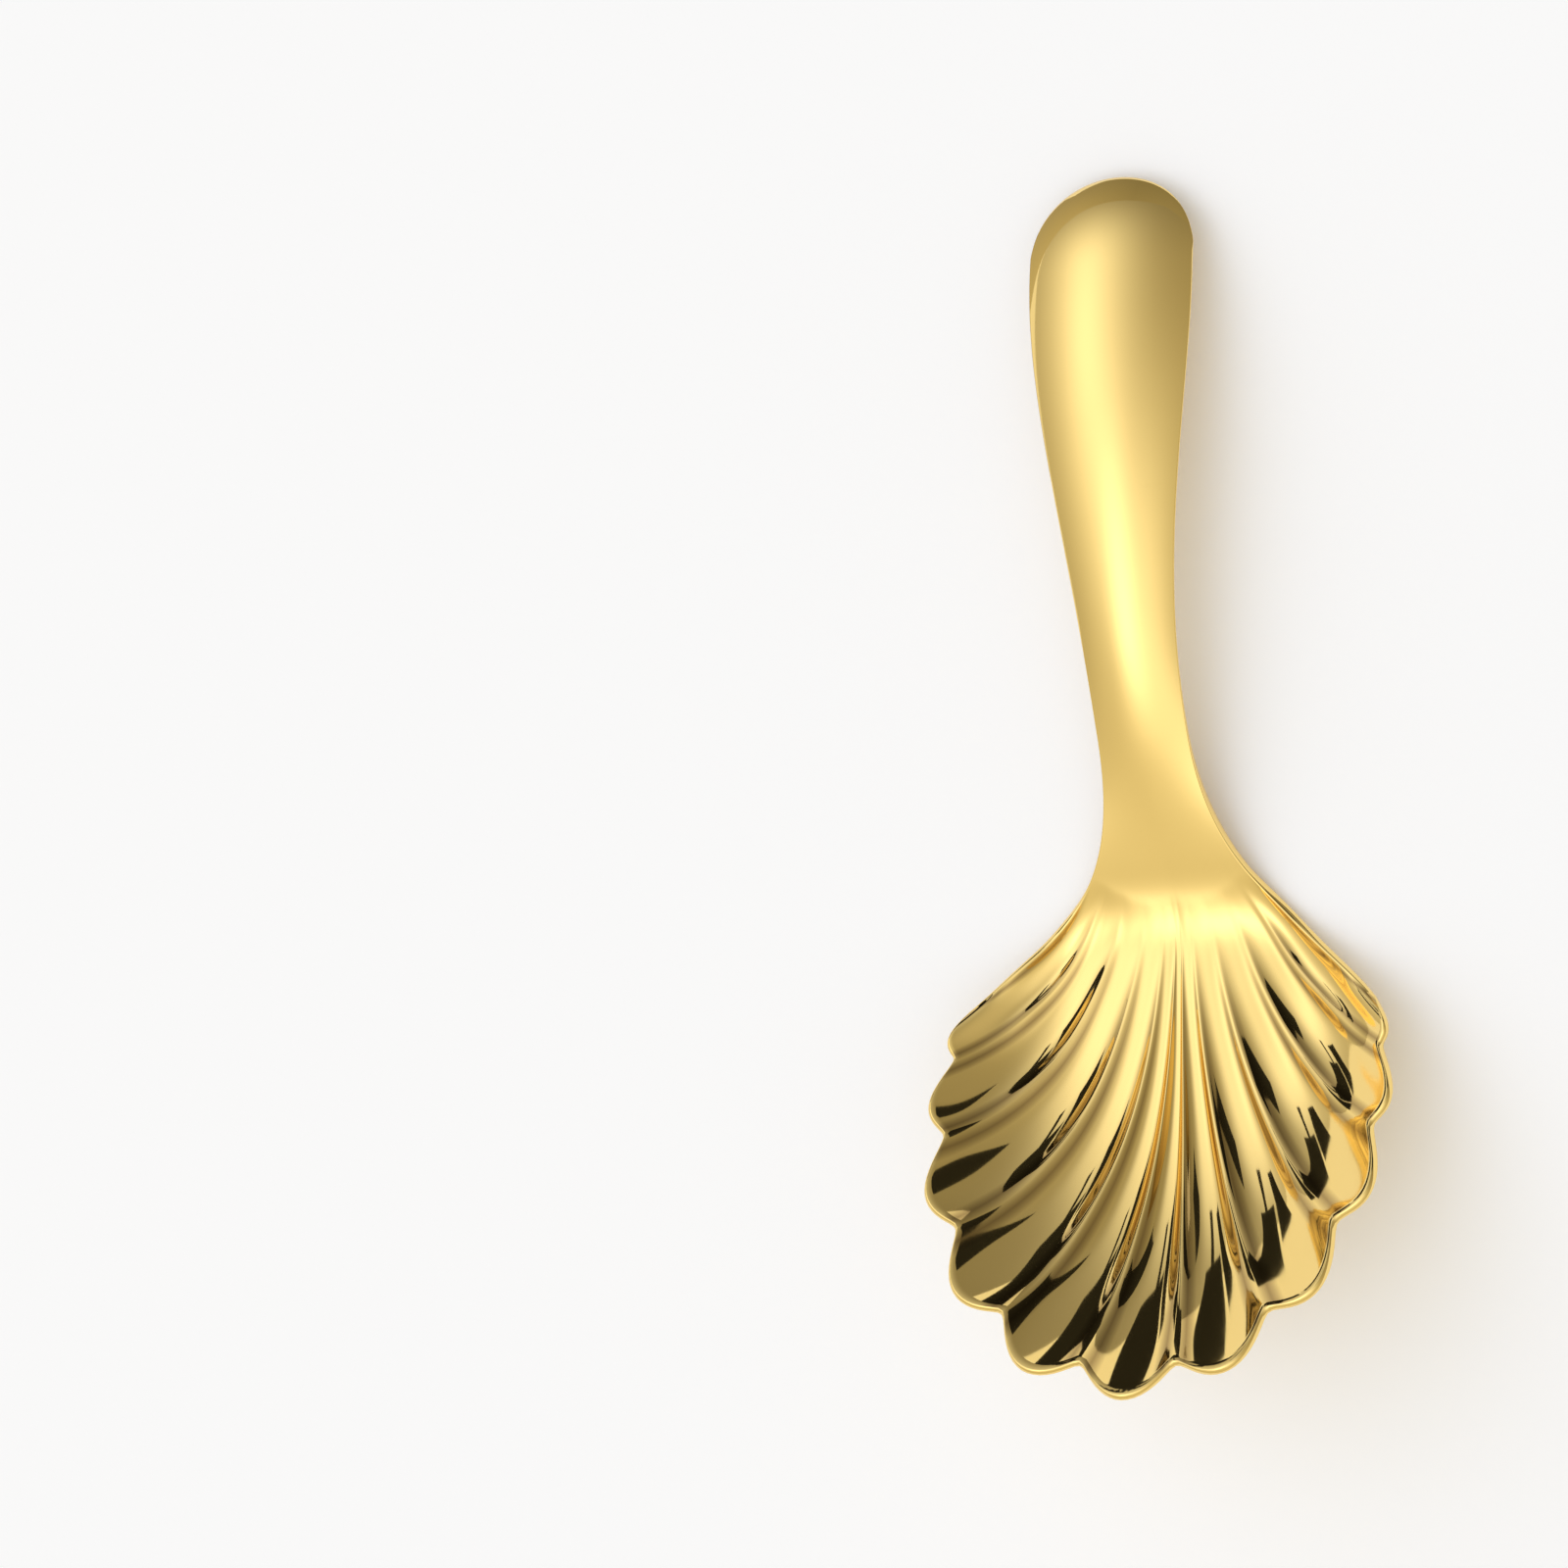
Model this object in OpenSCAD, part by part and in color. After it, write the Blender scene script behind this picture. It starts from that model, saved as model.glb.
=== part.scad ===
// Shell teaspoon with a hollow handle, lying tipped back on its heel and its handle end.
// The sheet is laid out flat first: x runs across it, s along its middle line from the waist
// (plus towards the handle end, minus towards the tip) and n stands off it. bend() then curls
// it to the side profile, and rest() sets the spoon down on the table.

/* [Handle] */
// Length of the handle along its curve, from the waist to the end
handle_len = 49; // [44:0.5:60]
// Width of the handle at its widest
handle_w = 15.4; // [12:0.1:19]
// Width of the waist, the narrowest place
waist_w = 8.6; // [7:0.1:10.5]
// Length of the rounded end
end_len = 9; // [7:0.1:11]
// How late the handle widens: 1 is an even taper
widen_late = 1.2; // [1:0.05:1.6]
// Height of the arched front above the handle's edges
arch_h = 2.7; // [2.2:0.1:3.6]

/* [Throat] */
// How steeply the handle leaves the bowl, in degrees
throat_bend = 53; // [42:1:60]
// Distance from the waist back to where the bend begins
bend_from = 22.6; // [19:0.1:26]
// Length of the bend
bend_len = 10.7; // [9:0.1:12.5]
// Slope left at the handle end, measured from the rim, in degrees
end_angle = 9; // [3:1:15]

/* [Bowl] */
// Length from the waist to the tip, along the curve
bowl_len = 60.8; // [55:0.1:73]
// Width of the bowl across its lobes
bowl_w = 42.2; // [35:0.1:51]
// Distance from the widest line of the rim to the tip
rim_reach = 25.3; // [21:0.1:31]
// Turn of the rim from the tip to each corner, in degrees
rim_sweep = 113; // [108:1:118]
// Depth of the bowl below its rim
bowl_d = 4.7; // [3.9:0.1:5.7]
// How far the sides of the rim stand above its tip
side_rise = 0.6; // [0:0.1:2.2]
// Number of flutes
lobes = 11; // [9:2:13]
// How far a flute's lobe stands out past the notches of the rim
lobe_h = 2.6; // [1.8:0.1:3.2]
// How far the lobes curl up above the notches
lobe_rise = 0.9; // [0.4:0.1:1.2]
// Depth of a flute halfway down the bowl
flute_d = 1.05; // [0.8:0.05:1.3]
// How flat the floor of a flute is: 1 is a round trough
flute_flat = 1.6; // [1:0.1:2.2]

/* [Sheet and seam] */
// Thickness of the front pressing at the handle
sheet_t = 1.1; // [0.9:0.05:1.35]
// Thickness of the front pressing at the rim of the bowl
rim_t = 0.7; // [0.55:0.05:0.9]
// Thickness of the handle's back
back_t = 0.8; // [0.6:0.05:1]
// How far the back bulges below its rim
back_h = 1.4; // [1:0.1:1.8]
// Distance from the handle's edge to the back's edge, at the waist
seam_inset = 0.3; // [0.2:0.05:0.5]
// Width of the brazed seam, at the waist
seam_w = 0.8; // [0.6:0.05:1]
// Height of the brazed seam where the sheet is flat
seam_t = 0.25; // [0.2:0.05:0.4]
// Clearance between the brazed seam and the sheets on both sides of it
seam_gap = 0.05; // [0.04:0.01:0.1]
// Distance from the waist to the end of the back's tongue, towards the bowl
tongue_len = 7; // [5:0.5:8]

/* [Hidden] */

gold = [0.86, 0.68, 0.33];
pale_gold = [0.92, 0.80, 0.52];

// Facets of the front pressing: columns follow the flutes, rows cross them
cols_per_lobe = 6;
bowl_rows = 21;
handle_rows = 16;
// Facets of the back and the seam
back_cols = 16;
back_rows = 18;
// How much closer the rows lie at the handle's round end
end_crowding = 0.6;
// Small step along the sheet by which its slope is found
slope_step = 0.001;

// Flutes gather towards the corners of the rim
gather = 0.29;
// Roundness of the ridges between the flutes
ridge_round = 0.2;
// The flutes start straight from the waist, then swing out and meet the rim at this flare
fan_start = 13;
fan_root = 18;
fan_pull = 0.64;
flare = 52;
// Shares of a flute's length: where the dish and the middle flute begin, how much later both
// begin at the sides, and where a flute is deepest
dish_from = 0.33;
flute_from = 0.32;
side_late = 0.11;
flute_full = 0.76;
// The stretch where the dish's sides change from following the width to following the flutes
across_from = 0.3;
across_to = 0.8;
// Share of the flute's depth left at the rim
flute_rim = 0.4;
// Powers that shape the start of the dish, its floor from side to side, the handle's round end,
// and the back from side to side and along its length
dish_power = 1.6;
floor_power = 3;
end_power = 2.5;
back_power = 4;
bulge_power = 6;
// Height of the back's edge as a share of its thickness
edge_share = 0.6;
// Where the sides of the back's tongue begin, as a share of the handle's length
tongue_root = 0.12;
// Setting down: the heel is looked for past this place of the sheet and the handle's foot past
// this share of the back, up to this tilt and by so many halvings
heel_from = -0.2;
foot_from = 0.5;
steepest = 60;
halvings = 30;
// The arch fades in along this stretch, from the throat on
arch_from = -14;
arch_full = 12;

widest_s = handle_len - end_len;
bend_mid = bend_len / 2 - bend_from;
rim_x = bowl_w / 2;
rim_y = rim_reach - bowl_len;
dish_peak = pow(dish_power, dish_power) / pow(dish_power + 1, dish_power + 1);
edge_h = back_t * edge_share;
rim_n = -(sheet_t + seam_t + seam_gap);
back_u = 1 - 2 * seam_inset / waist_w;
seam_u = 2 * seam_w / waist_w;
end_inset = seam_inset * handle_w / waist_w / handle_len;

// From 0 to 1 with no kink in slope or curvature at either end
function ease(k) = let (c = max(0, min(1, k))) c * c * c * (10 - 15 * c + 6 * c * c);

function mix(a, b, k) = a + (b - a) * k;

// The flat sheet: outline, arch, dish and flutes

function half_width(s) =
    let (k = pow(max(0, min(1, s / widest_s)), widen_late))
    mix(waist_w, handle_w, k * k * (3 - 2 * k)) / 2;

// 0 on a ridge, 1 in the middle of a flute
function wave(u) =
    let (w = sqrt(pow(sin(90 * lobes * (u + 1)), 2) + pow(ridge_round, 2)))
    (w - ridge_round) / (sqrt(1 + pow(ridge_round, 2)) - ridge_round);

function rim_turn(u) = rim_sweep * u * (1 + gather * (1 - u * u));

// Width of the flute at u as a share of the middle one
function flute_share(u) = (1 + gather * (1 - 3 * u * u)) / (1 + gather);

function rim(u) = [rim_x * sin(rim_turn(u)), rim_y - rim_reach * cos(rim_turn(u))];

// A line of the fan is one curve from the waist to the rim. A ridge's line is cut short there.
function fan(u, t, fluted) =
    let (a = flare * sin(rim_turn(u)),
         way_out = [sin(a), -cos(a)],
         start = [waist_w / 2 * u, 0],
         stop = rim(u),
         pull = fan_pull * norm(stop + [0, fan_root]),
         cut = fluted * lobe_h * (1 - wave(u)) * flute_share(u))
    pow(1 - t, 3) * start
    + 3 * t * pow(1 - t, 2) * (start - [0, fan_start])
    + 3 * t * t * (1 - t) * (stop - pull * way_out)
    + pow(t, 3) * (stop - cut * way_out);

// Place across the bowl, 0 in the middle and 1 at the edge, by width at the throat and by flute
// at the rim
function across(u, t) =
    mix(fan(u, t, 0)[0] / fan(1, t, 0)[0], u, ease((t - across_from) / (across_to - across_from)));

function arch(s) =
    arch_h * 2 * half_width(s) / handle_w * ease((s - arch_from) / (arch_full - arch_from));

function dish(u, t) =
    let (c = across(u, t),
         start = dish_from + side_late * u * u,
         k = max(0, (t - start) / (1 - start)))
    bowl_d / dish_peak * pow(k, dish_power) * (1 - k) * (1 - pow(abs(c), floor_power));

function flute(u, t) =
    let (start = flute_from + side_late * u * u,
         grow = ease((t - start) / (flute_full - start)),
         fade = mix(1, flute_rim, ease((t - flute_full) / (1 - flute_full))),
         trough = 1 - pow(1 - wave(u), flute_flat))
    flute_d * grow * fade * (trough - 0.5) * flute_share(u);

function rim_lift(u, t) =
    lobe_rise * (wave(u) - 0.5) * ease((t - flute_full) / (1 - flute_full))
    + side_rise * pow(sin(min(90, abs(rim_turn(u)))), 2) * pow(t, 3);

function bowl_face(u, t, fluted) =
    let (p = fan(u, t, fluted))
    [p[0], p[1], arch(p[1]) * (1 - u * u) - dish(u, t) + fluted * (rim_lift(u, t) - flute(u, t))];

function handle_face(u, r) =
    let (s = r * (widest_s + end_len * pow(max(0, 1 - u * u), 1 / end_power)),
         e = max(0, (s - widest_s) / end_len))
    [u * half_width(s), s, arch(s) * (1 - u * u - pow(e, end_power))];

// Inside face of the sheet: u from -1 to 1 across, r from -1 at the rim to 1 at the handle end
function face(u, r, fluted = 1) = r < 0 ? bowl_face(u, -r, fluted) : handle_face(u, r);

function off_sheet(u, r) =
    let (over = face(min(1, u + slope_step), r, 0) - face(max(-1, u - slope_step), r, 0),
         along = face(u, min(1, r + slope_step), 0) - face(u, max(-1, r - slope_step), 0),
         n = cross(over, along))
    n / norm(n);

// Underside of the sheet, which thins from the waist to the rim
function under(u, r, gap = 0) =
    face(u, r) - (mix(sheet_t, rim_t, ease(-r)) + gap) * off_sheet(u, r);

// The side profile: a level rim, the bend of the throat, then one long arc to the handle end

function heading(s) =
    throat_bend * ease((s + bend_from) / bend_len)
    - (throat_bend - end_angle) * max(0, (s - bend_mid) / (handle_len - bend_mid));

spine_step = 0.25;
spine = [
    for (s = -bend_from, p = [0, 0]; s <= handle_len + 2 * spine_step;
         p = p + spine_step * [cos(heading(s + spine_step / 2)), sin(heading(s + spine_step / 2))],
         s = s + spine_step)
    [s, p[0], p[1]]
];
spine_y = [for (p = spine) [p[0], p[1]]];
spine_z = [for (p = spine) [p[0], p[2]]];

function bend(p) =
    let (s = p[1],
         in_bowl = s < -bend_from,
         a = in_bowl ? 0 : heading(s),
         y = in_bowl ? s + bend_from : lookup(s, spine_y),
         z = in_bowl ? 0 : lookup(s, spine_z))
    [p[0], y - p[2] * sin(a), z + p[2] * cos(a)];

// The back lies in a patch of the sheet: q from -1 to 1 across, m from 0 at the tongue to 1

tongue_r = -tongue_len / (3 * fan_start);

// Sheet coordinates of a point of the patch, drawn in by a share of the seam's width
function patch(q, m, inset = 0) =
    let (narrow = inset * seam_u,
         short = inset * seam_w / handle_len,
         low = mix(tongue_root, tongue_r + 2 * short, sqrt(max(0, 1 - q * q))),
         high = 1 - end_inset - short * handle_w / waist_w)
    [q * (back_u - narrow), mix(low, high, m)];

// Point under the front pressing, at the seam's clearance
function seat(q, m, inset = 0) = let (p = patch(q, m, inset)) under(p[0], p[1], seam_gap);

// Flat along the middle of the back, so that the spoon rests on it without rocking
function bulge(q, m) = (1 - pow(q, back_power)) * (1 - pow(abs(2 * m - 1), bulge_power));

function at_height(p, n) = [p[0], p[1], n];

function back_outside(q, m) = at_height(seat(q, m), rim_n - edge_h - back_h * bulge(q, m));

function back_inside(q, m) =
    at_height(seat(q, m, 1), rim_n - (back_h + edge_h - back_t) * bulge(q, m));

// Where the columns and rows of facets run

// Rows draw closer together towards the handle's round end
function closing(k) = mix(k, sin(90 * k), end_crowding);

sheet_cols = [for (i = [0 : lobes * cols_per_lobe]) 2 * i / (lobes * cols_per_lobe) - 1];
sheet_rows = concat(
    [for (j = [0 : bowl_rows - 1]) j / bowl_rows - 1],
    [for (j = [0 : handle_rows]) closing(j / handle_rows)]
);
back_qs = [for (i = [0 : back_cols]) sin(90 * (2 * i / back_cols - 1))];
back_ms = [for (j = [0 : back_rows]) j / back_rows];

// Numbers of the points around a grid of c by r points, anticlockwise from above
function border(c, r) = concat(
    [for (i = [0 : c - 2]) i],
    [for (j = [0 : r - 2]) j * c + c - 1],
    [for (i = [c - 1 : -1 : 1]) (r - 1) * c + i],
    [for (j = [r - 1 : -1 : 1]) j * c]
);

back_border = [
    for (k = border(len(back_qs), len(back_ms)))
        [back_qs[k % len(back_qs)], back_ms[floor(k / len(back_qs))]]
];

// Setting down: the heel under the bowl and the handle end both touch the table

heel = [for (r = sheet_rows) if (r < heel_from) for (u = sheet_cols) bend(under(u, r))];
handle_foot = concat(
    [for (u = sheet_cols) bend(under(u, 1))],
    [for (m = back_ms) if (m > foot_from) bend(back_outside(0, m))]
);

function height(p, a) = p[2] * cos(a) - p[1] * sin(a);
function lowest(points, a) = min([for (p = points) height(p, a)]);

// Tilt at which both ends stand equally low, found by halving
function level(low, high, tries) =
    let (a = (low + high) / 2)
    tries == 0 ? a
    : lowest(handle_foot, a) > lowest(heel, a) ? level(a, high, tries - 1)
    : level(low, a, tries - 1);

rest_tilt = level(0, steepest, halvings);

function turned(p) =
    [p[0], p[1] * cos(rest_tilt) + p[2] * sin(rest_tilt), height(p, rest_tilt)];

end_y = max([for (u = sheet_cols) turned(bend(face(u, 1)))[1]]);
tip_y = min([for (u = sheet_cols) for (p = [face(u, -1), under(u, -1)]) turned(bend(p))[1]]);
floor_z = lowest(heel, rest_tilt);

function rest(p) = turned(p) - [0, (end_y + tip_y) / 2, floor_z];

function placed(p) = rest(bend(p));

// Building: two grids of equal size, one above the other, closed along their border

function grid_faces(c, r, first, flip) = [
    for (j = [0 : r - 2])
        for (i = [0 : c - 2])
            let (a = first + j * c + i)
            for (tri = [[a, a + c + 1, a + 1], [a, a + c, a + c + 1]])
                flip ? [tri[0], tri[2], tri[1]] : tri
];

// Strip of triangles between two closed rings of point numbers
function ring_faces(above, below) = [
    for (i = [0 : len(above) - 1])
        let (k = (i + 1) % len(above))
        for (tri = [[above[i], above[k], below[k]], [above[i], below[k], below[i]]])
            tri
];

function shifted(list, by) = [for (k = list) k + by];

module front_pressing() {
    cols = len(sheet_cols);
    rows = len(sheet_rows);
    top = [for (r = sheet_rows) for (u = sheet_cols) placed(face(u, r))];
    bottom = [for (r = sheet_rows) for (u = sheet_cols) placed(under(u, r))];
    edge = border(cols, rows);
    color(gold)
    polyhedron(
        points = concat(top, bottom),
        faces = concat(
            grid_faces(cols, rows, 0, false),
            grid_faces(cols, rows, len(top), true),
            ring_faces(edge, shifted(edge, len(top)))
        )
    );
}

module handle_back() {
    cols = len(back_qs);
    rows = len(back_ms);
    inside = [for (m = back_ms) for (q = back_qs) placed(back_inside(q, m))];
    outside = [for (m = back_ms) for (q = back_qs) placed(back_outside(q, m))];
    edge = border(cols, rows);
    rim_points = [for (p = back_border) placed(at_height(seat(p[0], p[1]), rim_n))];
    rim_edge = [for (k = [0 : len(edge) - 1]) 2 * len(inside) + k];
    color(gold)
    polyhedron(
        points = concat(inside, outside, rim_points),
        faces = concat(
            grid_faces(cols, rows, 0, false),
            grid_faces(cols, rows, len(inside), true),
            ring_faces(edge, rim_edge),
            ring_faces(rim_edge, shifted(edge, len(inside)))
        )
    );
}

module seam_braze() {
    n = len(back_border);
    rings = [for (inset = [0, 1]) [for (p = back_border) seat(p[0], p[1], inset)]];
    function numbers(ring) = [for (k = [0 : n - 1]) ring * n + k];
    color(pale_gold)
    polyhedron(
        points = concat(
            [for (p = rings[0]) placed(p)],
            [for (p = rings[1]) placed(p)],
            [for (p = rings[1]) placed(at_height(p, rim_n + seam_gap))],
            [for (p = rings[0]) placed(at_height(p, rim_n + seam_gap))]
        ),
        faces = concat(
            ring_faces(numbers(1), numbers(0)),
            ring_faces(numbers(2), numbers(1)),
            ring_faces(numbers(3), numbers(2)),
            ring_faces(numbers(0), numbers(3))
        )
    );
}

front_pressing();
handle_back();
seam_braze();
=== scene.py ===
"""Shell teaspoon with a hollow handle, as smooth polished pressings on a plain studio stage."""

import math

import bpy
import numpy as np
from bpy.props import FloatProperty, FloatVectorProperty, IntProperty, PointerProperty
from bpy.types import Operator, Panel, PropertyGroup
from mathutils import Matrix, Vector


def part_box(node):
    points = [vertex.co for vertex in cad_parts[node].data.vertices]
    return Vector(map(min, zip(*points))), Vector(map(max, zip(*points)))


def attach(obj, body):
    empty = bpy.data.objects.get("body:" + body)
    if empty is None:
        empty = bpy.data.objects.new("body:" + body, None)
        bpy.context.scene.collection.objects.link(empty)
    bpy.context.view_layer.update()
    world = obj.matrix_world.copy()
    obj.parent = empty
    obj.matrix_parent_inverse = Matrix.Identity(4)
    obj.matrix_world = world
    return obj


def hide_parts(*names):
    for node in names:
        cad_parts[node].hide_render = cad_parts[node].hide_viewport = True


bl_info = {
    "name": "Shell Teaspoon",
    "version": (1, 0, 0),
    "blender": (4, 5, 0),
    "location": "3D View > Sidebar > Spoon",
    "description": "Builds a fluted teaspoon with a hollow handle, and the stage that it lies on",
    "category": "Object",
}

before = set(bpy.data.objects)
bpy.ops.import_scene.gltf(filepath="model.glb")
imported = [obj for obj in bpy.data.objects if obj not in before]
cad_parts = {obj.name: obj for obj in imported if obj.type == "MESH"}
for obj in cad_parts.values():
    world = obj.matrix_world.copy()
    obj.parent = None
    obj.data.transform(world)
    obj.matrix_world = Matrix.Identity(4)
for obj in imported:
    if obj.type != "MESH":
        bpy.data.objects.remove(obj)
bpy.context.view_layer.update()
MM = 0.001


def length(name, description, millimetres):
    """A length that a user can change."""
    return FloatProperty(
        name=name, description=description, default=millimetres * MM, min=0, unit="LENGTH", precision=5
    )


def angle(name, description, degrees):
    """An angle that a user can change."""
    return FloatProperty(
        name=name, description=description, default=math.radians(degrees), subtype="ANGLE"
    )


def share(name, description, value, highest=1.0):
    """A plain number without a unit."""
    return FloatProperty(name=name, description=description, default=value, min=0, max=highest)


def tone(name, description, red, green, blue):
    """A colour in linear light."""
    colour = (red, green, blue)
    return FloatVectorProperty(
        name=name, description=description, default=colour, size=3, min=0, max=1, subtype="COLOR"
    )


class SpoonHandle(PropertyGroup):
    """Sizes of the handle and the throat."""

    handle_len: length("Handle length", "Along its curve, from the waist to the end", 49)
    handle_w: length("Handle width", "At the widest place", 15.4)
    waist_w: length("Waist width", "At the narrowest place", 8.6)
    end_len: length("End length", "Length of the rounded end", 9)
    end_power: share("End roundness", "Power of the rounded end's outline", 2.5, 6)
    widen_late: share("Widening", "How late the handle widens: 1 is an even taper", 1.2, 2)
    arch_h: length("Arch height", "Height of the arched front above the handle's edges", 2.7)
    arch_from: length("Arch start", "Distance from the waist back to where the arch begins", 14)
    arch_full: length("Arch full", "Distance from the waist on to where the arch is full", 12)
    throat_bend: angle("Throat bend", "How steeply the handle leaves the bowl", 53)
    bend_from: length("Bend start", "Distance from the waist back to where the bend begins", 22.6)
    bend_len: length("Bend length", "Length of the bend", 10.7)
    end_angle: angle("End slope", "Slope left at the handle end, measured from the rim", 9)


class SpoonBowl(PropertyGroup):
    """Sizes of the bowl and its flutes."""

    bowl_len: length("Bowl length", "From the waist to the tip, along the curve", 60.8)
    bowl_w: length("Bowl width", "Across the lobes", 42.2)
    rim_reach: length("Rim reach", "From the widest line of the rim to the tip", 25.3)
    rim_sweep: angle("Rim sweep", "Turn of the rim from the tip to each corner", 113)
    bowl_d: length("Bowl depth", "Depth below the rim", 4.7)
    floor_power: share("Floor power", "Flatness of the floor across", 3, 6)
    dish_from: share("Dish start", "Share of the middle line at which the dish begins", 0.33)
    side_late: share("Late sides", "How much later dish and flutes begin at the sides", 0.11)
    dish_power: share("Dish power", "How gently the dish begins: 1 is a plain arc", 1.6, 3)
    across_from: share("Across start", "Where the dish starts to follow the flutes", 0.3)
    across_to: share("Across end", "Where the dish follows the flutes fully", 0.8)
    side_rise: length("Side rise", "How far the sides of the rim stand above its tip", 0.6)
    lobes: IntProperty(name="Flutes", description="Number of flutes", default=11, min=3)
    lobe_h: length("Lobe height", "How far a lobe stands out past the notches of the rim", 2.6)
    lobe_rise: length("Lobe rise", "How far the lobes curl up above the notches", 0.9)
    flute_d: length("Flute depth", "Depth of a flute halfway down the bowl", 1.05)
    flute_flat: share("Flute flatness", "How flat the floor of a flute is: 1 is a round trough", 1.6, 6)
    flute_from: share("Flute start", "Share of its length at which a flute begins", 0.32)
    flute_full: share("Flute full", "Share of its length at which a flute is deepest", 0.76)
    flute_rim: share("Flute at the rim", "Share of the flute's depth left at the rim", 0.4)
    # Width of the painted shade beside each ridge
    crease_shade_to: share("Crease width", "How far a crease reaches from its ridge into the flute", 0.5)
    gather: share("Gather", "How much the flutes gather towards the corners", 0.29)
    ridge_round: share("Ridge roundness", "Roundness of the ridges between the flutes", 0.2)
    fan_start: length("Fan start", "How far the flute lines run straight from the waist", 13)
    fan_root: length("Fan root", "Distance from the waist to where the flute lines seem to meet", 18)
    fan_pull: share("Fan pull", "How far back from the rim the flute lines bend", 0.64)
    flare: angle("Flare", "How far the flute lines swing out at the rim", 52)


class SpoonSheet(PropertyGroup):
    """Thicknesses of the pressings and the seam between them."""

    sheet_t: length("Sheet thickness", "Front pressing at the handle", 1.1)
    rim_t: length("Rim thickness", "Front pressing at the rim of the bowl", 0.7)
    lip: length("Lip", "How far the polished edges are rounded", 0.14)
    back_t: length("Back thickness", "Thickness of the handle's back", 0.8)
    back_h: length("Back height", "How far the back bulges below its rim", 1.4)
    back_power: IntProperty(name="Back power", description="Flatness across the back", default=4)
    bulge_power: IntProperty(name="Bulge power", description="Flatness along the back", default=6)
    edge_share: share("Back edge", "Height of the back's edge as a share of its thickness", 0.6)
    seam_inset: length("Seam inset", "From the handle's edge to the back's edge, at the waist", 0.3)
    seam_w: length("Seam width", "Width of the brazed seam, at the waist", 0.8)
    seam_t: length("Seam height", "Height of the brazed seam", 0.25)
    seam_gap: length("Seam clearance", "Between the seam and the sheets on both sides of it", 0.05)
    tongue_len: length("Tongue length", "From the waist to the end of the back's tongue", 7)
    tongue_root: share("Tongue root", "Where the tongue's sides begin, as a share of the handle", 0.12)


class SpoonFinish(PropertyGroup):
    """Colours and polish of the metal."""

    gold: tone("Gold", "Colour of the gold-tone coating", 0.95, 0.69, 0.24)
    # The deep gold is painted shade in the creases beside the ridges, and also the deeper tone that the haze
    # brings at random
    crease_shade_and_haze_gold: tone("Deep gold", "Colour of the coating in the creases beside the ridges", 0.42, 0.28, 0.10)
    braze: tone("Braze", "Colour of the brazed seam", 0.86, 0.70, 0.38)
    polish: share("Polish", "Roughness of the polished gold", 0.045)
    gold_haze: share("Gold haze", "Roughness that the haziest spots of the gold add", 0.02)
    braze_polish: share("Braze polish", "Roughness of the polished seam", 0.09)
    braze_haze: share("Braze haze", "Roughness that the haziest spots of the seam add", 0.08)


class SpoonStage(PropertyGroup):
    """Floor, light and camera."""

    floor: tone("Floor", "Colour of the floor", 0.92, 0.92, 0.92)
    floor_lift: share("Floor lift", "White added to the floor where the camera or the metal sees it", 0.11)
    room_light: share("Room light", "Brightness of the room away from the soft boxes", 0.46, 4)
    room_slope: share("Room slope", "How much brighter the room grows from the side towards the bowl", 0.25)
    room_tint: tone("Room tint", "Colour of the room's light, a little warm", 1.0, 0.93, 0.72)
    box_light: share("Soft boxes", "Brightness that a soft box of strength 1 adds in its middle", 1.07, 4)
    box_tint: tone("Soft box tint", "Colour of the soft boxes, a little cool", 0.79, 0.84, 1.0)
    azimuth: angle("Azimuth", "Direction of the camera round the spoon", 97.07)
    elevation: angle("Elevation", "Height of the camera above the floor", 67.7)
    roll: angle("Roll", "Turn of the picture", -101.28)
    distance: length("Distance", "From the camera to the spoon", 400)
    lens: FloatProperty(name="Lens", description="Focal length", default=107.16, unit="CAMERA")


def ease(k):
    """From 0 to 1 with no kink in slope or curvature at either end."""
    c = np.clip(k, 0, 1)
    return c**3 * (10 - 15 * c + 6 * c * c)


def mix(a, b, k):
    """From a at 0 to b at 1."""
    return a + (b - a) * k


def lowest(points, tilt):
    """Height of the lowest of some points, once they are tilted about the X axis."""
    return (points[:, 2] * math.cos(tilt) - points[:, 1] * math.sin(tilt)).min()


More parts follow.
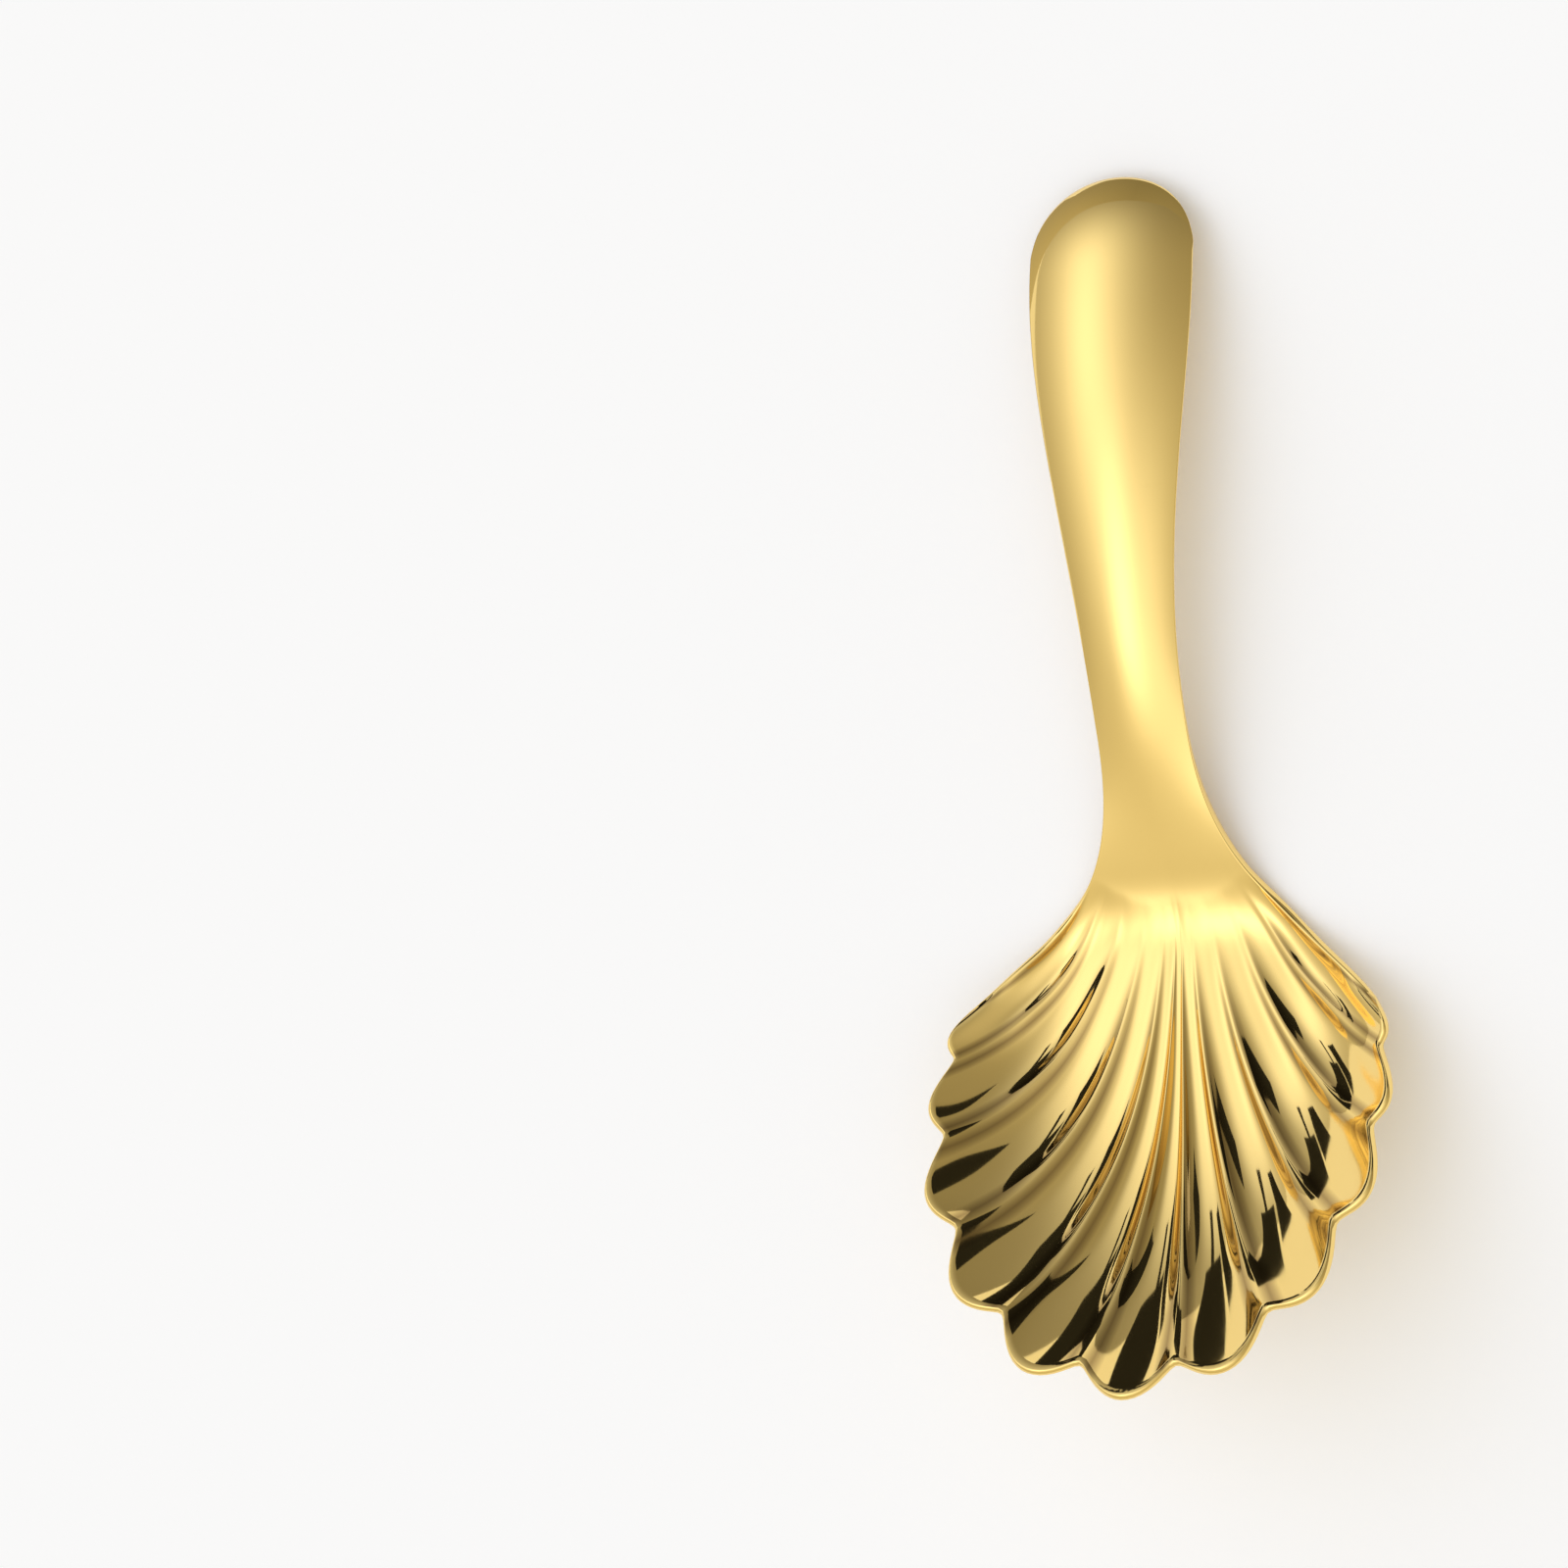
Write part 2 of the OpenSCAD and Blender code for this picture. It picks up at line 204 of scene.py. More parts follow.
class PressedSheet:
    """Shape of the spoon's sheet: laid out flat, curled to the side profile and set down.

    u runs from -1 to 1 across the sheet, r from -1 at the rim of the bowl to 1 at the handle end, and
    t from 0 at the waist to 1 at the rim, along a flute line.
    A flat point is x across, s along the middle line from the waist, and n off the sheet.
    """

    SPINE_STEP = 0.25 * MM
    SLOPE_STEP = 1e-3
    # Counts of the grids on which the lowest points are sought, and of the halvings that find the tilt
    FRONT_GRID = (111, 161)
    BACK_GRID = (21, 41)
    HALVINGS = 40
    STEEPEST = math.pi / 3
    # Share of the handle past which it can touch the floor
    FOOT_FROM = 0.5

    def __init__(self, scene):
        self.handle = scene.spoon_handle
        self.bowl = scene.spoon_bowl
        self.gauge = scene.spoon_sheet
        self.widest_s = self.handle.handle_len - self.handle.end_len
        self.bend_mid = self.handle.bend_len / 2 - self.handle.bend_from
        self.spine = self.lay_spine()
        self.tilt = 0.0
        self.shift = np.zeros(3)
        self.set_down()

    def half_width(self, s):
        """Half of the handle's width, at s from the waist."""
        k = np.clip(s / self.widest_s, 0, 1) ** self.handle.widen_late
        return mix(self.handle.waist_w, self.handle.handle_w, k * k * (3 - 2 * k)) / 2

    def wave(self, u):
        """0 on a ridge, 1 in the middle of a flute."""
        rounding = self.bowl.ridge_round
        w = np.sqrt(np.sin(math.pi / 2 * self.bowl.lobes * (u + 1)) ** 2 + rounding**2)
        return (w - rounding) / (math.sqrt(1 + rounding**2) - rounding)

    def rim_turn(self, u):
        """Turn along the rim, from the tip towards a corner."""
        return self.bowl.rim_sweep * u * (1 + self.bowl.gather * (1 - u * u))

    def flute_share(self, u):
        """Width of the flute at u as a share of the middle one."""
        return (1 + self.bowl.gather * (1 - 3 * u * u)) / (1 + self.bowl.gather)

    def fan(self, u, t, fluted):
        """A flute line: one curve from the waist to the rim, cut short where it is a ridge."""
        b = self.bowl
        turn = self.rim_turn(u)
        stop = np.array([b.bowl_w / 2 * np.sin(turn), b.rim_reach * (1 - np.cos(turn)) - b.bowl_len])
        way_out = np.array([np.sin(b.flare * np.sin(turn)), -np.cos(b.flare * np.sin(turn))])
        start = np.array([self.handle.waist_w / 2 * u, 0 * u])
        leave = start - np.array([0 * u, b.fan_start + 0 * u])
        pull = b.fan_pull * np.hypot(stop[0], stop[1] + b.fan_root)
        cut = b.lobe_h * (1 - self.wave(u)) * self.flute_share(u) if fluted else 0 * u
        return (
            (1 - t) ** 3 * start
            + 3 * t * (1 - t) ** 2 * leave
            + 3 * t * t * (1 - t) * (stop - pull * way_out)
            + t**3 * (stop - cut * way_out)
        )

    def across(self, u, t):
        """Place across the bowl, by width at the throat and by flute at the rim."""
        b = self.bowl
        by_width = self.fan(u, t, False)[0] / self.fan(1 + 0 * u, t, False)[0]
        return mix(by_width, u, ease((t - b.across_from) / (b.across_to - b.across_from)))

    def arch(self, s):
        """Height of the arched front above the handle's edges."""
        h = self.handle
        grow = ease((s + h.arch_from) / (h.arch_full + h.arch_from))
        return h.arch_h * 2 * self.half_width(s) / h.handle_w * grow

    def dish(self, u, t):
        """Depth of the smooth dish below the rim."""
        b = self.bowl
        start = b.dish_from + b.side_late * u * u
        k = np.clip((t - start) / (1 - start), 0, 1)
        p = b.dish_power
        deepest = p**p / (p + 1) ** (p + 1)
        return b.bowl_d / deepest * k**p * (1 - k) * (1 - abs(self.across(u, t)) ** b.floor_power)

    def flute(self, u, t):
        """Depth of the flutes, with the ridges above the dish and the troughs below it."""
        b = self.bowl
        start = b.flute_from + b.side_late * u * u
        grow = ease((t - start) / (b.flute_full - start))
        fade = mix(1, b.flute_rim, ease((t - b.flute_full) / (1 - b.flute_full)))
        trough = 1 - (1 - self.wave(u)) ** b.flute_flat
        return b.flute_d * grow * fade * (trough - 0.5) * self.flute_share(u)

    def crease_shade(self, u, t):
        """Mask for the painted shade on the steep strips on both sides of each ridge, from 0 to 1."""
        b = self.bowl
        start = b.flute_from + b.side_late * u * u
        k = np.clip(self.wave(u) / b.crease_shade_to, 0, 1)
        return 4 * k * (1 - k) * ease((t - start) / (b.flute_full - start))

    def rim_lift(self, u, t):
        """Rise of the sides of the rim, and the curl of its lobes."""
        b = self.bowl
        curl = b.lobe_rise * (self.wave(u) - 0.5) * ease((t - b.flute_full) / (1 - b.flute_full))
        return curl + b.side_rise * np.sin(np.minimum(math.pi / 2, abs(self.rim_turn(u)))) ** 2 * t**3

    def face(self, u, r, fluted=True):
        """Inside face of the flat sheet."""
        t = np.clip(-r, 0, 1)
        x, s = self.fan(u, t, fluted)
        n = self.arch(s) * (1 - u * u) - self.dish(u, t)
        if fluted:
            n = n + self.rim_lift(u, t) - self.flute(u, t)
        h = self.handle
        end = h.end_len * np.clip(1 - u * u, 0, 1) ** (1 / h.end_power)
        along = np.clip(r, 0, 1) * (self.widest_s + end)
        fall = np.clip((along - self.widest_s) / h.end_len, 0, 1) ** h.end_power
        bowl = np.stack([x, s, n], -1)
        handle = np.stack([u * self.half_width(along), along, self.arch(along) * (1 - u * u - fall)], -1)
        return np.where((r < 0)[..., None], bowl, handle)

    def off_sheet(self, u, r):
        """Direction off the sheet, as it would be without its flutes."""
        d = self.SLOPE_STEP
        over = self.face(np.minimum(1, u + d), r, False) - self.face(np.maximum(-1, u - d), r, False)
        along = self.face(u, np.minimum(1, r + d), False) - self.face(u, np.maximum(-1, r - d), False)
        n = np.cross(over, along)
        return n / np.linalg.norm(n, axis=-1, keepdims=True)

    def under(self, u, r, gap=0.0):
        """Underside of the flat sheet, which thins from the waist to the rim."""
        depth = mix(self.gauge.sheet_t, self.gauge.rim_t, ease(-r)) + gap
        return self.face(u, r) - depth[..., None] * self.off_sheet(u, r)

    def heading(self, s):
        """Slope of the side profile."""
        h = self.handle
        rise = h.throat_bend * ease((s + h.bend_from) / h.bend_len)
        fall = np.maximum(0, (s - self.bend_mid) / (h.handle_len - self.bend_mid))
        return rise - (h.throat_bend - h.end_angle) * fall

    def lay_spine(self):
        """Side profile of the middle line, from the start of the bend to the handle end."""
        s = np.arange(-self.handle.bend_from, self.handle.handle_len + 2 * self.SPINE_STEP, self.SPINE_STEP)
        heading = self.heading(s[:-1] + self.SPINE_STEP / 2)
        y = np.append(0, np.cumsum(np.cos(heading))) * self.SPINE_STEP
        z = np.append(0, np.cumsum(np.sin(heading))) * self.SPINE_STEP
        return s, y, z

    def bend(self, p):
        """Curls flat points to the side profile."""
        x, s, n = np.moveaxis(p, -1, 0)
        table_s, table_y, table_z = self.spine
        in_bowl = s < -self.handle.bend_from
        lean = np.where(in_bowl, 0, self.heading(s))
        y = np.where(in_bowl, s + self.handle.bend_from, np.interp(s, table_s, table_y))
        z = np.where(in_bowl, 0, np.interp(s, table_s, table_z))
        return np.stack([x, y - n * np.sin(lean), z + n * np.cos(lean)], -1)

    def placed(self, p):
        """Curls flat points and sets them down as the spoon lies."""
        q = self.bend(p)
        c = math.cos(self.tilt)
        s = math.sin(self.tilt)
        turned = np.stack([q[..., 0], q[..., 1] * c + q[..., 2] * s, q[..., 2] * c - q[..., 1] * s], -1)
        return turned + self.shift

    def set_down(self):
        """Finds the tilt at which heel and handle end touch the floor, and moves the sheet to its place."""
        cols, rows = self.FRONT_GRID
        u, r = np.meshgrid(np.linspace(-1, 1, cols), np.linspace(-1, 1, rows))
        cols, rows = self.BACK_GRID
        q, m = np.meshgrid(np.linspace(-1, 1, cols), np.linspace(self.FOOT_FROM, 1, rows))
        front = self.bend(self.under(u, r))
        back = self.bend(self.back_outside(q, m))
        heel = front[r < 0]
        foot = np.concatenate([front[r > self.FOOT_FROM], back.reshape(-1, 3)])
        low = 0.0
        high = self.STEEPEST
        for _ in range(self.HALVINGS):
            self.tilt = (low + high) / 2
            if lowest(foot, self.tilt) > lowest(heel, self.tilt):
                low = self.tilt
            else:
                high = self.tilt
        floor_z = min(lowest(foot, self.tilt), lowest(heel, self.tilt))
        whole = np.concatenate([self.placed(self.face(u, r)), self.placed(self.under(u, r))])
        middle_y = (whole[..., 1].min() + whole[..., 1].max()) / 2
        box = np.array(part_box("front_pressing"))
        self.shift = np.array([0, box[:, 1].mean() - middle_y, box[0, 2] - floor_z])

    def patch(self, q, m, inset):
        """Sheet coordinates of a point of the back: q across, m from its tongue to the handle end."""
        h = self.handle
        g = self.gauge
        short = inset * g.seam_w / h.handle_len
        end_inset = g.seam_inset * h.handle_w / h.waist_w / h.handle_len
        # The flute lines leave the waist by three times the fan's start for each unit of r
        tongue = -g.tongue_len / (3 * self.bowl.fan_start) + 2 * short
        low = mix(g.tongue_root, tongue, np.sqrt(np.clip(1 - q * q, 0, 1)))
        high = 1 - end_inset - short * h.handle_w / h.waist_w
        across = q * (1 - 2 * (g.seam_inset + inset * g.seam_w) / h.waist_w)
        return across, mix(low, high, m)

    def seat(self, q, m, inset=0.0):
        """Point under the front pressing, at the seam's clearance."""
        u, r = self.patch(q, m, inset)
        return self.under(u, r, self.gauge.seam_gap)

    def back_rim(self):
        """Height of the back's rim off the flat sheet."""
        return -(self.gauge.sheet_t + self.gauge.seam_t + self.gauge.seam_gap)

    def bulge(self, q, m):
        """Bulge of the back, from 0 along its edge to 1 in its middle."""
        return (1 - q**self.gauge.back_power) * (1 - abs(2 * m - 1) ** self.gauge.bulge_power)

    def back_outside(self, q, m):
        """Outer face of the back, on the flat sheet."""
        edge_h = self.gauge.back_t * self.gauge.edge_share
        return at_height(self.seat(q, m), self.back_rim() - edge_h - self.gauge.back_h * self.bulge(q, m))

    def back_inside(self, q, m):
        """Inner face of the back, on the flat sheet."""
        depth = self.gauge.back_h + self.gauge.back_t * (self.gauge.edge_share - 1)
        return at_height(self.seat(q, m, 1.0), self.back_rim() - depth * self.bulge(q, m))


def at_height(p, n):
    """Flat points moved to another height off the sheet."""
    return np.stack([p[..., 0], p[..., 1], n + 0 * p[..., 0]], -1)


BACK_COLS = 56
BACK_ROWS = 150


def back_grid():
    """Grid over the back: q across, closer towards its sides, and m from its tongue to the handle end."""
    across = np.sin(np.linspace(-math.pi / 2, math.pi / 2, BACK_COLS + 1))
    return np.meshgrid(across, np.linspace(0, 1, BACK_ROWS + 1))


def border(rows, cols):
    """Numbers of the points around a grid, in order."""
    numbers = np.arange(rows * cols).reshape(rows, cols)
    return np.concatenate([numbers[0, :-1], numbers[:-1, -1], numbers[-1, :0:-1], numbers[:0:-1, 0]])


def grid_quads(rows, cols, first, flip):
    """Faces of a grid whose points are numbered from first on."""
    numbers = np.arange(rows * cols).reshape(rows, cols) + first
    quads = np.stack([numbers[:-1, :-1], numbers[:-1, 1:], numbers[1:, 1:], numbers[1:, :-1]], -1)
    quads = quads.reshape(-1, 4)
    return quads[:, ::-1] if flip else quads


def ring_quads(upper, lower):
    """Strip of faces between two closed rings of point numbers."""
    return np.stack([upper, lower, np.roll(lower, -1), np.roll(upper, -1)], -1)


def mesh_object(name, points, faces, material):
    """An object in the scene, with a mesh of one material."""
    mesh = bpy.data.meshes.new(name)
    mesh.from_pydata(points, [], faces)
    mesh.materials.append(material)
    thing = bpy.data.objects.new(name, mesh)
    bpy.context.scene.collection.objects.link(thing)
    return thing


def smooth_piece(name, points, quads, material):
    """A smooth-shaded mesh object."""
    piece = mesh_object(name, points.tolist(), quads.tolist(), material)
    piece.data.validate()
    piece.data.shade_smooth()
    return piece


def closed_sheet(name, top, bottom, rings, material):
    """Closes two grids along their border through rings of points between them."""
    rows, cols = top.shape[:2]
    count = rows * cols
    edge = border(rows, cols)
    points = np.concatenate([top.reshape(-1, 3), bottom.reshape(-1, 3), *rings])
    numbers = [edge]
    for k, ring in enumerate(rings):
        numbers.append(2 * count + k * len(edge) + np.arange(len(ring)))
    numbers.append(edge + count)
    strips = [ring_quads(a, b) for a, b in zip(numbers[:-1], numbers[1:])]
    quads = np.concatenate([grid_quads(rows, cols, 0, False), grid_quads(rows, cols, count, True), *strips])
    return smooth_piece(name, points, quads, material)


def round_lip(top, bottom, lip, steps):
    """Rings of points that round the border between two grids."""
    edge = border(*top.shape[:2])
    upper = top.reshape(-1, 3)[edge]
    lower = bottom.reshape(-1, 3)[edge]
    middle = (upper + lower) / 2
    half = (upper - lower) / 2
    run = np.roll(middle, -1, 0) - np.roll(middle, 1, 0)
    out = np.cross(run, half)
    out = out / np.linalg.norm(out, axis=-1, keepdims=True) * lip
    turns = [math.pi * k / steps for k in range(1, steps)]
    return [middle + half * math.cos(a) + out * math.sin(a) for a in turns]


def heading_vector(azimuth, elevation):
    """Direction from the spoon, with azimuth measured from +X towards +Y."""
    flat = math.cos(elevation)
    return Vector((flat * math.cos(azimuth), flat * math.sin(azimuth), math.sin(elevation)))


def nodes_of(tree):
    """Empties a node tree and gives a short way to add and join nodes."""
    tree.nodes.clear()

    def add(kind, **settings):
        node = tree.nodes.new(kind)
        for key, value in settings.items():
            setattr(node, key, value)
        return node

    def join(output, socket):
        tree.links.new(output, socket)

    return add, join


def empty_material(name):
    """A material without nodes, and a short way to add and join them."""
    material = bpy.data.materials.get(name) or bpy.data.materials.new(name)
    material.use_nodes = True
    add, join = nodes_of(material.node_tree)
    return material, add, join


HAIRLINE_TURN = math.radians(7)
HAIRLINE_STRETCH = (1, 0.02, 1)
HAIRLINE_RANGE = (0.35, 0.75)
# Height of a hairline as a share of the waviness, and the share of the haze that it adds to the roughness
HAIRLINE_HEIGHT = 0.02
HAIRLINE_DULL = 0.5
HAZE_RANGE = (0.3, 0.7)
# How much of the deeper colour the haze brings
HAZE_TONE = 0.05
BUMP_STRENGTH = 0.25
BUMP_HEIGHT = 0.02 * MM


def polish_group():
    """Node group: what polishing leaves on metal, as soft haze, hairlines and a faint waviness."""
    name = "Polish marks"
    if name in bpy.data.node_groups:
        return bpy.data.node_groups[name]
    group = bpy.data.node_groups.new(name, "ShaderNodeTree")
    inputs = {
        "Polish": 0.05,
        "Haze amount": 0.02,
        "Haze scale": 120,
        "Hairline scale": 2600,
        "Wave scale": 160,
    }
    for socket, default in inputs.items():
        made = group.interface.new_socket(socket, in_out="INPUT", socket_type="NodeSocketFloat")
        made.default_value = default
    for socket in ("Haze", "Roughness", "Height"):
        group.interface.new_socket(socket, in_out="OUTPUT", socket_type="NodeSocketFloat")
    add, join = nodes_of(group)
    given = add("NodeGroupInput").outputs
    result = add("NodeGroupOutput").inputs
    place = add("ShaderNodeTexCoord").outputs["Object"]

    def noise(where, scale, detail):
        node = add("ShaderNodeTexNoise")
        node.inputs["Detail"].default_value = detail
        join(where, node.inputs["Vector"])
        join(given[scale], node.inputs["Scale"])
        return node.outputs["Fac"]

    def ranged(value, limits):
        node = add("ShaderNodeMapRange")
        node.inputs["From Min"].default_value = limits[0]
        node.inputs["From Max"].default_value = limits[1]
        join(value, node.inputs["Value"])
        return node

    stretch = add("ShaderNodeMapping")
    stretch.inputs["Rotation"].default_value = (0, 0, HAIRLINE_TURN)
    stretch.inputs["Scale"].default_value = HAIRLINE_STRETCH
    join(place, stretch.inputs["Vector"])
    haze = noise(place, "Haze scale", 4)
    hair = noise(stretch.outputs["Vector"], "Hairline scale", 3)
    waves = noise(place, "Wave scale", 1)
    hairlines = ranged(hair, HAIRLINE_RANGE).outputs["Result"]
    join(haze, result["Haze"])

    haziest = add("ShaderNodeMath", operation="ADD")
    join(given["Polish"], haziest.inputs[0])
    join(given["Haze amount"], haziest.inputs[1])
    dull = ranged(haze, HAZE_RANGE)
    join(given["Polish"], dull.inputs["To Min"])
    join(haziest.outputs["Value"], dull.inputs["To Max"])
    hair_dull = add("ShaderNodeMath", operation="MULTIPLY")
    hair_dull.inputs[1].default_value = HAIRLINE_DULL
    join(given["Haze amount"], hair_dull.inputs[0])
    roughness = add("ShaderNodeMath", operation="MULTIPLY_ADD")
    join(hairlines, roughness.inputs[0])
    join(hair_dull.outputs["Value"], roughness.inputs[1])
    join(dull.outputs["Result"], roughness.inputs[2])
    join(roughness.outputs["Value"], result["Roughness"])

    height = add("ShaderNodeMath", operation="MULTIPLY_ADD")
    height.inputs[1].default_value = HAIRLINE_HEIGHT
    join(hairlines, height.inputs[0])
    join(waves, height.inputs[2])
    join(height.outputs["Value"], result["Height"])
    return group


def polished_metal(name, base, shade_and_haze_tone, polish, haze):
    """Polished metal whose tone, gloss and surface vary a little with the polish marks, with shade painted
    darker where the crease mask is set.
    """
    material, add, join = empty_material(name)
    output = add("ShaderNodeOutputMaterial")
    shader = add("ShaderNodeBsdfPrincipled")
    shader.inputs["Metallic"].default_value = 1
    join(shader.outputs["BSDF"], output.inputs["Surface"])
    marks = add("ShaderNodeGroup", node_tree=polish_group())
    marks.inputs["Polish"].default_value = polish
    marks.inputs["Haze amount"].default_value = haze
    # Painted shade: the colour turns towards the darker tone along the crease mask, and a little more with
    # the haze
    crease_shade = add("ShaderNodeAttribute", attribute_name="crease_shade")
    depth = add("ShaderNodeMath", operation="MULTIPLY_ADD", use_clamp=True)
    depth.inputs[1].default_value = HAZE_TONE
    join(marks.outputs["Haze"], depth.inputs[0])
    join(crease_shade.outputs["Fac"], depth.inputs[2])
    colour = add("ShaderNodeMix", data_type="RGBA")
    colour.inputs["A"].default_value = (*base, 1)
    colour.inputs["B"].default_value = (*shade_and_haze_tone, 1)
    join(depth.outputs["Value"], colour.inputs["Factor"])
    join(colour.outputs["Result"], shader.inputs["Base Color"])
    join(marks.outputs["Roughness"], shader.inputs["Roughness"])
    bump = add("ShaderNodeBump")
    bump.inputs["Strength"].default_value = BUMP_STRENGTH
    bump.inputs["Distance"].default_value = BUMP_HEIGHT
    join(marks.outputs["Height"], bump.inputs["Height"])
    join(bump.outputs["Normal"], shader.inputs["Normal"])
    return material


def gold_metal():
    """Mirror-polished gold tone of the two pressings, with shade painted darker in the creases."""
    finish = bpy.context.scene.spoon_finish
    return polished_metal("Polished gold", finish.gold, finish.crease_shade_and_haze_gold, finish.polish, finish.gold_haze)


def braze_metal():
    """Paler, duller metal of the seam."""
    finish = bpy.context.scene.spoon_finish
    return polished_metal(
        "Polished braze", finish.braze, finish.crease_shade_and_haze_gold, finish.braze_polish, finish.braze_haze
    )


class FrontPressing(Operator):
    """Build the front pressing: fluted bowl, throat and arched front of the handle"""

    bl_idname = "spoon.front_pressing"
    bl_label = "Front pressing"

    COLS_PER_FLUTE = 18
    BOWL_ROWS = 120
    HANDLE_ROWS = 70
    LIP_STEPS = 6
    END_CROWDING = 0.6

    def execute(self, context):
        sheet = PressedSheet(context.scene)
        lip = sheet.gauge.lip
        u, r = self.grid(sheet)
        t = np.clip(-r, 0, 1)
        bowl_edge = sheet.fan(1 + 0 * u, t, False)[0]
        handle_edge = sheet.half_width(r * sheet.widest_s)
        u_in = u * (1 - lip / np.where(r < 0, bowl_edge, handle_edge))
        r_in = r * (1 - lip / np.where(r < 0, sheet.bowl.bowl_len, sheet.handle.handle_len))
        top = sheet.placed(sheet.face(u_in, r_in))
        bottom = sheet.placed(sheet.under(u_in, r_in))
        rings = round_lip(top, bottom, lip, self.LIP_STEPS)
        piece = closed_sheet("front_pressing_polished", top, bottom, rings, gold_metal())
        # The crease mask carries painted shade into the material
        self.mark_crease_shade(piece, sheet.crease_shade(u, t).ravel())
        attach(piece, "root")
        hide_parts("front_pressing")
        return {"FINISHED"}

    def grid(self, sheet):
        """Columns follow the flutes. Rows draw closer together towards the handle's round end."""
        k = np.linspace(0, 1, self.HANDLE_ROWS + 1)
        handle = mix(k, np.sin(math.pi / 2 * k), self.END_CROWDING)
        bowl = np.linspace(-1, 0, self.BOWL_ROWS, endpoint=False)
        cols = np.linspace(-1, 1, sheet.bowl.lobes * self.COLS_PER_FLUTE + 1)
        return np.meshgrid(cols, np.concatenate([bowl, handle]))

    def mark_crease_shade(self, piece, crease_shade):
        """Writes the painted-shade mask of the creases on the inside face, which comes first in the mesh,
        for the material.
        """
        values = np.zeros(len(piece.data.vertices), np.float32)
        values[: len(crease_shade)] = crease_shade
        mask = piece.data.attributes.new("crease_shade", "FLOAT", "POINT")
        mask.data.foreach_set("value", values)


class HandleBack(Operator):
    """Build the pressing that closes the hollow handle from below"""

    bl_idname = "spoon.handle_back"
    bl_label = "Handle back"

    # Rounding of the outer corner, as shares of the back's half width and of its length
    CORNER_ACROSS = 0.06
    CORNER_ALONG = 0.012
    CORNER_STEPS = 5

    def execute(self, context):
        sheet = PressedSheet(context.scene)
        q, m = back_grid()
        outside = sheet.back_outside(q * (1 - self.CORNER_ACROSS), mix(0.5, m, 1 - self.CORNER_ALONG))
        inside = sheet.back_inside(q, m)
        edge = border(*q.shape)
        corner = sheet.back_outside(q, m).reshape(-1, 3)[edge]
        rim = at_height(corner, sheet.back_rim())
        start = outside.reshape(-1, 3)[edge]
        rings = [rim]
        for k in np.arange(1, self.CORNER_STEPS) / self.CORNER_STEPS:
            rings.append((1 - k) ** 2 * rim + 2 * k * (1 - k) * corner + k * k * start)
        piece = closed_sheet(
            "handle_back_polished",
            sheet.placed(inside),
            sheet.placed(outside),
            [sheet.placed(ring) for ring in rings],
            gold_metal(),
        )
        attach(piece, "root")
        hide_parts("handle_back")
        return {"FINISHED"}


class SeamBraze(Operator):
    """Build the ring of braze between the two pressings"""

    bl_idname = "spoon.seam_braze"
    bl_label = "Brazed seam"

    # How far the seam's outer side swells, as a share of its width
    BEAD = 0.08
    BEAD_STEPS = 6

    def execute(self, context):
        sheet = PressedSheet(context.scene)
        q, m = back_grid()
        edge = border(*q.shape)
        q = q.ravel()[edge]
        m = m.ravel()[edge]
        foot = sheet.back_rim() + sheet.gauge.seam_gap
        rings = []
        for k in np.linspace(0, 1, self.BEAD_STEPS + 1):
            upper = sheet.seat(q, m, -self.BEAD * math.sin(math.pi * k))
            rings.append(mix(upper, at_height(upper, foot), k))
        inner = sheet.seat(q, m, 1.0)
        rings += [at_height(inner, foot), inner]
        count = len(edge)
        numbers = [k * count + np.arange(count) for k in range(len(rings))]
        strips = [ring_quads(a, b) for a, b in zip(numbers, numbers[1:] + numbers[:1])]
        points = sheet.placed(np.concatenate(rings))
        piece = smooth_piece("seam_braze_polished", points, np.concatenate(strips), braze_metal())
        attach(piece, "root")
        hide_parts("seam_braze")
        return {"FINISHED"}


